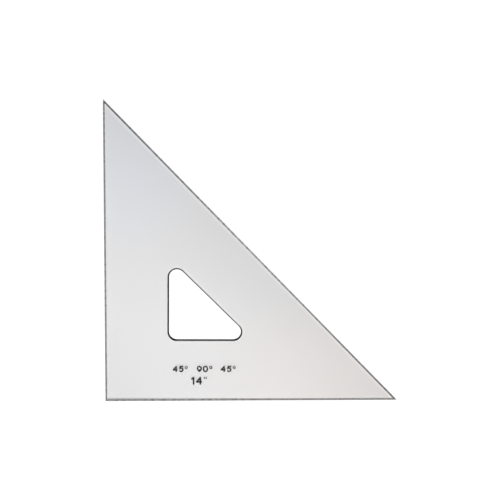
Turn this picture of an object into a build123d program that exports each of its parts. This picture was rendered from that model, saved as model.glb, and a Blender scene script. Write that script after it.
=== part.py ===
"""Clear 45/45/90 drafting triangle: one acrylic plate with inking edges, and the numbers printed on it.

Millimetres. The plate lies flat on z = 0 with its right angle towards -X and -Y.
The origin is the middle of the plate's bounding box at its base, under the middle of the hypotenuse.
"""
import os

from build123d import *

# Plate
leg = 355.6
thickness = 3.0

# Inking edge: each ruling edge is a lip, milled back on both faces so that it stands clear of wet ink
lip_width = 2.2
lip_relief = 0.8

# Finger window: its border runs from the legs to its wall, its width and height to the wall's sharp corners
window_border = 75.4
window_width = 100.2
window_height = 97.7
window_corner_radius = 9.5
window_chamfer = 1.6

# Print, placed from the right-angle corner
ink_thickness = 0.03

angle_mark_height = 7.7
angle_mark_stroke = 1.65
angle_mark_spacing = 2.8
angle_mark_left = 80.1
angle_mark_baseline = 35.7
angle_mark_pitch = 28.8

size_mark_height = 9.7
size_mark_stroke = 1.95
size_mark_spacing = 3.7
size_mark_left = 102.3
size_mark_baseline = 20.1

# The small raised signs, the degree ring and the inch ticks, have a thinner stroke
raised_stroke_shares = {"degree": 0.6, "inch": 0.72}

# Characters as single strokes, in shares of the height between stroke centres.
# Runs are straight through their points. Arcs are centre, radius, start and sweep in degrees.
run_shares = {
    "0": [[(0.0, 0.38), (0.0, 0.62)], [(0.76, 0.38), (0.76, 0.62)]],
    "1": [[(0.0, 0.80), (0.25, 1.0), (0.25, 0.0)]],
    "4": [[(0.57, 0.0), (0.57, 1.0), (0.0, 0.33), (0.74, 0.33)]],
    "5": [[(0.66, 1.0), (0.16, 1.0), (0.10, 0.58)]],
    "9": [],
    "degree": [],
    "inch": [[(0.0, 0.9), (0.0, 1.0)], [(0.28, 0.9), (0.28, 1.0)]],
}
arc_shares = {
    "0": [((0.38, 0.62), 0.38, 0, 180), ((0.38, 0.38), 0.38, 180, 180)],
    "1": [],
    "4": [],
    "5": [((0.34, 0.34), 0.34, 135, -275)],
    "9": [((0.38, 0.62), 0.38, 0, 180), ((0.38, 0.62), 0.38, 180, 180), ((0.11, 0.62), 0.65, 0, -72)],
    "degree": [((0.22, 0.78), 0.22, 0, 180), ((0.22, 0.78), 0.22, 180, 180)],
    "inch": [],
}
width_shares = {"0": 0.76, "1": 0.25, "4": 0.74, "5": 0.68, "9": 0.76, "degree": 0.44, "inch": 0.28}

# Corners of the plate and of the window
half_leg = leg / 2
window_corner = window_border - half_leg
lip_thickness = thickness - 2 * lip_relief


def acrylic_plate():
    """The sheet: a lip all round its full-thickness body, and a window with a chamfered top rim."""
    with BuildPart() as plate:
        with BuildSketch(Plane.XY.offset(lip_relief)) as outline:
            with BuildLine():
                Polyline((-half_leg, -half_leg), (half_leg, -half_leg), (-half_leg, half_leg), close=True)
            make_face()
        extrude(amount=lip_thickness)
        with BuildSketch():
            add(outline.sketch_local)
            offset(amount=-lip_width, kind=Kind.INTERSECTION, mode=Mode.REPLACE)
        extrude(amount=thickness)
        with BuildSketch():
            with BuildLine():
                FilletPolyline(
                    (window_corner, window_corner),
                    (window_corner + window_width, window_corner),
                    (window_corner, window_corner + window_height),
                    radius=window_corner_radius,
                    close=True,
                )
            make_face()
        extrude(amount=thickness, mode=Mode.SUBTRACT)
        top_face = plate.faces().sort_by(Axis.Z)[-1]
        chamfer(top_face.inner_wires()[0].edges(), length=window_chamfer)
    return plate.part


def stroke_lines(character, left, foot, span):
    """One character's strokes, as the lines and arcs that run along the middle of the ink.

    Each arc is drawn by itself, because two half circles in one drawing would merge into one.
    """
    lines = []
    for run in run_shares[character]:
        with BuildLine() as stroke:
            Polyline(*[(left + x * span, foot + y * span) for x, y in run])
        lines += stroke.edges()
    for (x, y), radius, start, sweep in arc_shares[character]:
        with BuildLine() as stroke:
            CenterArc((left + x * span, foot + y * span), radius * span, start, sweep)
        lines += stroke.edges()
    return lines


def printed_number(characters, left, baseline, height, stroke, spacing):
    """A row of printed characters, each a thin film with round stroke ends on the plate's top face."""
    span = height - stroke
    foot = baseline + stroke / 2 - half_leg
    pen = left + stroke / 2 - half_leg
    with BuildPart() as number:
        with BuildSketch(Plane.XY.offset(thickness)):
            for character in characters:
                line_width = stroke * raised_stroke_shares.get(character, 1)
                for line in stroke_lines(character, pen, foot, span):
                    SlotArc(line, height=line_width)
                pen += width_shares[character] * span + spacing
        extrude(amount=ink_thickness)
    return number.part


pieces = {"acrylic_plate": acrylic_plate()}

angle_marks = {
    "angle_mark_45_left": ["4", "5", "degree"],
    "angle_mark_90": ["9", "0", "degree"],
    "angle_mark_45_right": ["4", "5", "degree"],
}
for place, (name, characters) in enumerate(angle_marks.items()):
    pieces[name] = printed_number(
        characters,
        angle_mark_left + place * angle_mark_pitch,
        angle_mark_baseline,
        angle_mark_height,
        angle_mark_stroke,
        angle_mark_spacing,
    )

pieces["size_mark_14"] = printed_number(
    ["1", "4", "inch"],
    size_mark_left,
    size_mark_baseline,
    size_mark_height,
    size_mark_stroke,
    size_mark_spacing,
)

os.makedirs("parts", exist_ok=True)
for name, piece in pieces.items():
    piece.label = name
    export_step(piece, f"parts/{name}.step")
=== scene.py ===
"""Looks of the clear acrylic drafting triangle, lying on a pale studio floor. Metres."""
from math import radians, sqrt

import bpy
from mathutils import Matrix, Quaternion, Vector


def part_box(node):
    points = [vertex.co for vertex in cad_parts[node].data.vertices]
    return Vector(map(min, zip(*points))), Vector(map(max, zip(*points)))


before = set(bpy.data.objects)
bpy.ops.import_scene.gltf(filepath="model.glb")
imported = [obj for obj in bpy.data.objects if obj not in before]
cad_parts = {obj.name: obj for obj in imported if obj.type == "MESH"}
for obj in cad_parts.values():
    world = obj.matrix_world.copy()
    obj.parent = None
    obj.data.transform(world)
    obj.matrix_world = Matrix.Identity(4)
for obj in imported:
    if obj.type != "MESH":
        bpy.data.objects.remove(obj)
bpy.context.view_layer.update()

# Camera, from the outline's three corners in the photograph
camera_place = (-0.036205, 0.053186, 0.594082)
camera_turn = (-4.54817, -2.850611, 0.591184)
focal_length_mm = 36.0
sensor_width_mm = 36.0

# Plate: the origin is under the middle of the hypotenuse
plate_low, plate_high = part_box("acrylic_plate")
leg = plate_high.x - plate_low.x
half_hypotenuse = leg / sqrt(2)
diagonal = sqrt(0.5)
acrylic_index = 1.49

# What tells the plate's surfaces apart: their turn, and how near the sheet's faces or its outline they are
level_limit = 0.99
run_limit = 0.998
face_limit = 0.0002
outline_limit = 0.0001
edge_band = 0.003

# The way that each side of the plate, and each run of the window's rim, goes. Its corners share one.
run_ways = {
    "slanted": (diagonal, -diagonal, 0.0),
    "left": (0.0, 1.0, 0.0),
    "lower": (1.0, 0.0, 0.0),
    "corner": (1.0, 0.0, 0.0),
}

# The way that each straight run of the window's rim faces
run_facings = {
    "left": (1.0, 0.0),
    "lower": (0.0, 1.0),
    "slanted": (-diagonal, -diagonal),
}

# Uneven patterns, with their repeats per metre along each axis
marks_per_metre = 350.0
lines_per_metre = 5000.0
marks_detail = 1.0
plain_roughness = 0.5
fine_lines = {"scale": (220.0, 220.0, lines_per_metre), "detail": 3.0, "roughness": 0.6}
cloud = {"scale": (9.0, 9.0, 9.0), "detail": 4.0}
smudges = {"scale": (35.0, 35.0, 35.0), "detail": 6.0, "roughness": 0.6}
scratches = {"scale": (1500.0, 25.0, 25.0), "detail": 2.0, "turn": 35.0}
ink_film = {"scale": (2500.0, 2500.0, 2500.0), "detail": 3.0}
paper_grain = {"scale": (300.0, 300.0, 300.0), "detail": 4.0}

# Polished faces: their tint, their gloss, their scratches and the share of light that they let through
face_tints = ((0.833, 0.836, 0.836), (0.863, 0.866, 0.866))
smudge_range = (0.35, 0.75)
face_roughness = (0.02, 0.09)
scratch_range = (0.66, 0.72)
scratch_depth = 0.00002
scratch_strength = 0.12
face_share = 0.73

# Beside the hypotenuse's lip the polished faces are painted a little lighter, a painted highlight
hypotenuse_inward = (-diagonal, -diagonal, 0.0)
painted_highlight_band = (0.0022, 0.006)
painted_highlight_shares = (1.13, 1.0)

# Beside the lower lip the top face has a painted shade, this far from the edge at the right angle and at
# the tip
shade_reach = (0.0043, 0.0017)
shade_edge = 0.0001
shade_shares = (0.36, 1.0)

# Milled surfaces: their marks, their fine lines and the share of light that they let through
mark_range = (0.35, 0.65)
line_range = (0.3, 0.7)
line_depth = 0.00005
line_strength = 0.35
milled_share = 0.95
lip_finish = {"transmission": 0.45, "roughness": (0.4, 0.6), "specular": 0.5}
step_finish = {"transmission": 0.0, "roughness": (0.4, 0.6), "specular": 0.5}
rim_finish = {"transmission": 0.0, "roughness": (0.3, 0.5), "specular": 0.05}

# The darkest and the lightest tone of the lips, of the step behind the left lip and of the window's rim.
# The step's light tones are painted light, and the rim's tones are painted shade.
lip_tones = (0.05, 0.46)
step_painted_light_tones = (0.84, 0.96)
# Painted shade in the window's rim: near black on the left run and the corners, lighter on the lower and
# slanted runs, where light falls
rim_painted_shade_tones = {
    "left": (0.002, 0.004),
    "lower": (0.04, 0.12),
    "slanted": (0.05, 0.15),
    "corner": (0.002, 0.004),
}

# How each lip's tones change, from the middle of the hypotenuse or from the right angle: painted light and
# shade, lighter or darker from side to side and along each lip
lip_painted_fades = {
    "slanted": {"start": (0.0, 0.0, 0.0), "reach": half_hypotenuse, "shares": (1.30, 0.58)},
    "left": {"start": plate_low, "reach": leg, "shares": (0.38, 0.54)},
    "lower": {"start": plate_low, "reach": leg, "shares": (0.88, 0.97)},
}

# Ink
ink_tints = ((0.004, 0.004, 0.005), (0.014, 0.014, 0.015))
film_range = (0.3, 0.7)
ink_roughness = (0.45, 0.65)
ink_specular = 0.25
ink_depth = 0.00001
ink_strength = 0.3

# Floor, with a glow that rises away from its middle
floor_drop = 0.0002
floor_size = 12.0
paper_tints = ((0.80, 0.80, 0.80), (0.84, 0.84, 0.84))
glow_reach = (0.27, 0.6)
glow_strength = (0.24, 0.40)

# Studio light: an even fill, and four soft lights
white = (1.0, 1.0, 1.0)
fill_strength = 0.64
softbox_middle = (0.5, 0.5, 0.0)
softbox_rim = 0.5
softboxes = {
    "top_softbox": {
        "place": (-0.20, -0.47, 1.2),
        "aim": (-0.20, -0.47, 0.0),
        "size": (3.0, 1.5),
        "power": 28.0,
        "colour": white,
        "turn": -45.0,
    },
    "warm_softbox": {
        "place": (0.33, -0.52, 1.1),
        "aim": (0.33, -0.52, 0.0),
        "size": (1.2, 0.8),
        "power": 1.9,
        "colour": (1.0, 0.45, 0.20),
        "turn": 0.0,
    },
    "cool_softbox": {
        "place": (-0.38, 0.17, 1.15),
        "aim": (-0.38, 0.17, 0.0),
        "size": (0.7, 0.7),
        "power": 0.85,
        "colour": (0.05, 0.3, 1.0),
        "turn": 0.0,
    },
    "side_softbox": {
        "place": (-1.6, -1.6, 1.5),
        "aim": (0.0, 0.0, 0.0),
        "size": (1.6, 1.6),
        "power": 25.0,
        "colour": white,
        "turn": 0.0,
    },
}


def new_material(name):
    """A material with an empty node tree, and that tree."""
    material = bpy.data.materials.new(name)
    material.use_nodes = True
    material.node_tree.nodes.clear()
    return material, material.node_tree


def add_node(tree, kind, inputs, operation=None):
    """A new node, whose inputs are linked to the sockets or set to the values that are given for them."""
    node = tree.nodes.new("ShaderNode" + kind)
    if operation:
        node.operation = operation
    for name, given in inputs.items():
        if isinstance(given, bpy.types.NodeSocket):
            tree.links.new(given, node.inputs[name])
        else:
            node.inputs[name].default_value = given
    return node


def own_place(tree):
    """The object's own coordinates."""
    return add_node(tree, "TexCoord", {}).outputs["Object"]


def noise(tree, place, detail, roughness=plain_roughness):
    """A noise value over the given coordinates."""
    inputs = {"Vector": place, "Scale": 1.0, "Detail": detail, "Roughness": roughness}
    return add_node(tree, "TexNoise", inputs).outputs["Fac"]


def pattern(tree, scale, detail, roughness=plain_roughness, turn=0.0):
    """A noise value over the object's own coordinates, scaled along each axis and turned about Z."""
    inputs = {"Vector": own_place(tree), "Scale": scale, "Rotation": (0.0, 0.0, radians(turn))}
    mapping = add_node(tree, "Mapping", inputs)
    return noise(tree, mapping.outputs["Vector"], detail, roughness)


def remap(tree, value, from_range, to_range):
    """A value moved from one range to another, and held inside it."""
    inputs = {
        "Value": value,
        "From Min": from_range[0],
        "From Max": from_range[1],
        "To Min": to_range[0],
        "To Max": to_range[1],
    }
    return add_node(tree, "MapRange", inputs).outputs["Result"]


def tint(tree, value, dark, light):
    """A colour between dark and light."""
    ramp = add_node(tree, "ValToRGB", {"Fac": value})
    ramp.color_ramp.elements[0].color = (*dark, 1.0)
    ramp.color_ramp.elements[1].color = (*light, 1.0)
    return ramp.outputs["Color"]


def bump(tree, height, depth, strength):
    """A normal bumped by a height."""
    inputs = {"Height": height, "Distance": depth, "Strength": strength}
    return add_node(tree, "Bump", inputs).outputs["Normal"]


def from_point(tree, point):
    """The distance from a point, in the object's own coordinates."""
    inputs = {0: own_place(tree), 1: point}
    return add_node(tree, "VectorMath", inputs, "DISTANCE").outputs["Value"]


def along(tree, direction):
    """How far a place lies along a direction from the origin, in the object's own coordinates."""
    inputs = {0: own_place(tree), 1: direction}
    return add_node(tree, "VectorMath", inputs, "DOT_PRODUCT").outputs["Value"]


def scaled(tree, colour, share):
    """A colour times a share."""
    inputs = {0: colour, "Scale": share}
    return add_node(tree, "VectorMath", inputs, "SCALE").outputs["Vector"]


def let_light_through(tree, shader, share):
    """Light on its way to the floor passes straight through the surface, and a share of it is left."""
    path = add_node(tree, "LightPath", {})
    clear = add_node(tree, "BsdfTransparent", {"Color": (share, share, share, 1.0)})
    for ray in ("Is Shadow Ray", "Is Diffuse Ray"):
        inputs = {"Fac": path.outputs[ray], 1: shader, 2: clear.outputs["BSDF"]}
        shader = add_node(tree, "MixShader", inputs).outputs["Shader"]
    return shader


def shaded_strip(tree):
    """The share of colour that a painted shade leaves beside the lower lip, in a strip of the top face
    that narrows along the leg.

    The strip ends at a plane that leans outwards as it goes down, so the lower face has none of it.
    """
    taper = (shade_reach[0] - shade_reach[1]) / leg
    lean = Vector((taper, 1.0, -1.0))
    end = lean.dot((plate_low.x, plate_low.y, plate_high.z)) + shade_reach[0]
    return remap(tree, along(tree, lean), (end - shade_edge, end + shade_edge), shade_shares)


def polished_acrylic():
    """The sheet's two faces: clear, glossy, faintly clouded and finely scratched, with a painted highlight
    beside the hypotenuse's lip and a painted shade beside the lower lip.
    """
    material, tree = new_material("polished_acrylic")
    colour = tint(tree, pattern(tree, **cloud), *face_tints)
    # Painted highlight: the faces are made lighter beside the hypotenuse's lip
    painted_lightening = remap(tree, along(tree, hypotenuse_inward), painted_highlight_band, painted_highlight_shares)
    colour = scaled(tree, colour, painted_lightening)
    # Painted shade beside the lower lip
    colour = scaled(tree, colour, shaded_strip(tree))
    hairlines = remap(tree, pattern(tree, **scratches), scratch_range, (0.0, 1.0))
    inputs = {
        "Base Color": colour,
        "IOR": acrylic_index,
        "Transmission Weight": 1.0,
        "Roughness": remap(tree, pattern(tree, **smudges), smudge_range, face_roughness),
        "Normal": bump(tree, hairlines, scratch_depth, scratch_strength),
    }
    shader = add_node(tree, "BsdfPrincipled", inputs).outputs["BSDF"]
    add_node(tree, "OutputMaterial", {"Surface": let_light_through(tree, shader, face_share)})
    return material


def cutter_marks(tree, way):
    """Uneven marks: they reach across a level face, and are flat flecks on an upright one."""
    inputs = {
        "X": along(tree, Vector(way) * marks_per_metre),
        "Y": along(tree, (0.0, 0.0, lines_per_metre)),
    }
    place = add_node(tree, "CombineXYZ", inputs)
    return noise(tree, place.outputs["Vector"], marks_detail)


def milled_acrylic(name, way, tones, finish, fade=None):
    """A machined surface: satin, with fine lines and uneven cutter marks."""
    material, tree = new_material(name)
    lines = pattern(tree, **fine_lines)
    colour = remap(tree, cutter_marks(tree, way), mark_range, tones)
    # A fade paints light and shade along a lip
    if fade:
        share = remap(tree, from_point(tree, fade["start"]), (0.0, fade["reach"]), fade["shares"])
        colour = scaled(tree, colour, share)
    inputs = {
        "Base Color": colour,
        "IOR": acrylic_index,
        "Transmission Weight": finish["transmission"],
        "Specular IOR Level": finish["specular"],
        "Roughness": remap(tree, lines, line_range, finish["roughness"]),
        "Normal": bump(tree, lines, line_depth, line_strength),
    }
    shader = add_node(tree, "BsdfPrincipled", inputs).outputs["BSDF"]
    add_node(tree, "OutputMaterial", {"Surface": let_light_through(tree, shader, milled_share)})
    return material


def printed_ink():
    """Black screen ink: matte, a little thin in places."""
    material, tree = new_material("printed_ink")
    film = pattern(tree, **ink_film)
    inputs = {
        "Base Color": tint(tree, film, *ink_tints),
        "Specular IOR Level": ink_specular,
        "Roughness": remap(tree, film, film_range, ink_roughness),
        "Normal": bump(tree, film, ink_depth, ink_strength),
    }
    shader = add_node(tree, "BsdfPrincipled", inputs).outputs["BSDF"]
    add_node(tree, "OutputMaterial", {"Surface": shader})
    return material


def rim_run(normal):
    """The straight run of the window's rim that faces the same way, or a corner."""
    level = Vector((normal.x, normal.y)).normalized()
    for run, facing in run_facings.items():
        if level.dot(Vector(facing)) > run_limit:
            return run
    return "corner"


def surface_name(spot, normal):
    """The material of one of the plate's polygons, from its centre and its normal."""
    to_hypotenuse = -(spot.x + spot.y) * diagonal
    to_left = spot.x - plate_low.x
    to_lower = spot.y - plate_low.y
    to_leg = min(to_left, to_lower)
    to_face = min(spot.z - plate_low.z, plate_high.z - spot.z)
    if abs(normal.z) > level_limit and to_face < face_limit:
        return "polished_acrylic"
    if min(to_hypotenuse, to_leg) > edge_band:
        return "rim_" + rim_run(normal)
    if to_hypotenuse < to_leg:
        return "lip_slanted"
    if to_lower < to_left:
        return "lip_lower"
    if to_left < outline_limit or normal.z > level_limit:
        return "lip_left"
    return "painted_light_step_left"


def dress_plate():
    """The polished faces, the lips, the left step and the window's rim each get a material slot."""
    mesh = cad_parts["acrylic_plate"].data
    mesh.materials.clear()
    mesh.materials.append(polished_acrylic())
    # The left step's light tone is painted light
    mesh.materials.append(milled_acrylic("painted_light_step_left", run_ways["left"], step_painted_light_tones, step_finish))
    for side, fade in lip_painted_fades.items():
        mesh.materials.append(milled_acrylic("lip_" + side, run_ways[side], lip_tones, lip_finish, fade))
    for run, tones in rim_painted_shade_tones.items():
        mesh.materials.append(milled_acrylic("rim_" + run, run_ways[run], tones, rim_finish))
    slots = [material.name for material in mesh.materials]
    for polygon in mesh.polygons:
        polygon.material_index = slots.index(surface_name(polygon.center, polygon.normal))


def dress_print():
    """All the printed numbers share one ink."""
    ink = printed_ink()
    for name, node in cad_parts.items():
        if name != "acrylic_plate":
            node.data.materials.clear()
            node.data.materials.append(ink)


def seen_directly(tree):
    """1 for rays from the camera, and for those that mirrors or clear plastic send on."""
    path = add_node(tree, "LightPath", {})
    seen = path.outputs["Is Camera Ray"]
    for ray in ("Is Glossy Ray", "Is Transmission Ray"):
        seen = add_node(tree, "Math", {0: seen, 1: path.outputs[ray]}, "MAXIMUM").outputs["Value"]
    return seen


def pale_floor():
    """Matte white paper that looks white by itself and still takes the shadow."""
    material, tree = new_material("pale_floor")
    colour = tint(tree, pattern(tree, **paper_grain), *paper_tints)
    paper = add_node(tree, "BsdfDiffuse", {"Color": colour})
    glow = remap(tree, from_point(tree, (0.0, 0.0, 0.0)), glow_reach, glow_strength)
    strength = add_node(tree, "Math", {0: glow, 1: seen_directly(tree)}, "MULTIPLY")
    emission = add_node(tree, "Emission", {"Strength": strength.outputs["Value"]})
    both = add_node(tree, "AddShader", {0: paper.outputs["BSDF"], 1: emission.outputs["Emission"]})
    add_node(tree, "OutputMaterial", {"Surface": both.outputs["Shader"]})
    return material


def make_floor():
    """A wide floor just under the plate."""
    half = floor_size / 2
    corners = [(-half, -half, 0.0), (half, -half, 0.0), (half, half, 0.0), (-half, half, 0.0)]
    mesh = bpy.data.meshes.new("floor")
    mesh.from_pydata(corners, [], [(0, 1, 2, 3)])
    mesh.materials.append(pale_floor())
    floor = bpy.data.objects.new("floor", mesh)
    floor.location.z = -floor_drop
    bpy.context.scene.collection.objects.link(floor)


def white_light(tree, strength):
    """A plain white background."""
    inputs = {"Color": (*white, 1.0), "Strength": strength}
    return add_node(tree, "Background", inputs).outputs["Background"]


def make_world():
    """A plain studio: white where it is seen, and an even fill for everything that it lights."""
    world = bpy.data.worlds.new("studio")
    world.use_nodes = True
    tree = world.node_tree
    tree.nodes.clear()
    inputs = {"Fac": seen_directly(tree), 1: white_light(tree, fill_strength), 2: white_light(tree, 1.0)}
    both = add_node(tree, "MixShader", inputs)
    add_node(tree, "OutputWorld", {"Surface": both.outputs["Shader"]})
    bpy.context.scene.world = world


def add_softbox(name, place, aim, size, power, colour, turn):
    """An oval soft light whose brightness fades from its middle to its rim, turned about its own axis."""
    light = bpy.data.lights.new(name, "AREA")
    light.shape = "ELLIPSE"
    light.size, light.size_y = size
    light.energy = power
    light.color = colour
    light.use_nodes = True
    tree = light.node_tree
    geometry = add_node(tree, "NewGeometry", {})
    inputs = {0: geometry.outputs["Parametric"], 1: softbox_middle}
    from_middle = add_node(tree, "VectorMath", inputs, "DISTANCE")
    inputs = {"Value": from_middle.outputs["Value"], "From Min": softbox_rim, "From Max": 0.0}
    fade = add_node(tree, "MapRange", inputs)
    fade.interpolation_type = "SMOOTHSTEP"
    tree.links.new(fade.outputs["Result"], tree.nodes["Emission"].inputs["Strength"])
    lamp = bpy.data.objects.new(name, light)
    lamp.location = place
    aimed = (Vector(aim) - Vector(place)).to_track_quat("-Z", "Y")
    lamp.rotation_euler = (aimed @ Quaternion((0.0, 0.0, 1.0), radians(turn))).to_euler()
    lamp.visible_camera = False
    bpy.context.scene.collection.objects.link(lamp)


def add_camera():
    """The photograph's view, nearly straight down."""
    data = bpy.data.cameras.new("camera")
    data.sensor_width = sensor_width_mm
    data.lens = focal_length_mm
    camera = bpy.data.objects.new("camera", data)
    camera.location = camera_place
    camera.rotation_mode = "ZYX"
    camera.rotation_euler = [radians(angle) for angle in camera_turn]
    bpy.context.scene.collection.objects.link(camera)
    bpy.context.scene.camera = camera


dress_plate()
dress_print()
make_floor()
make_world()
for name, softbox in softboxes.items():
    add_softbox(name, **softbox)
add_camera()
bpy.context.scene.view_settings.view_transform = "Standard"
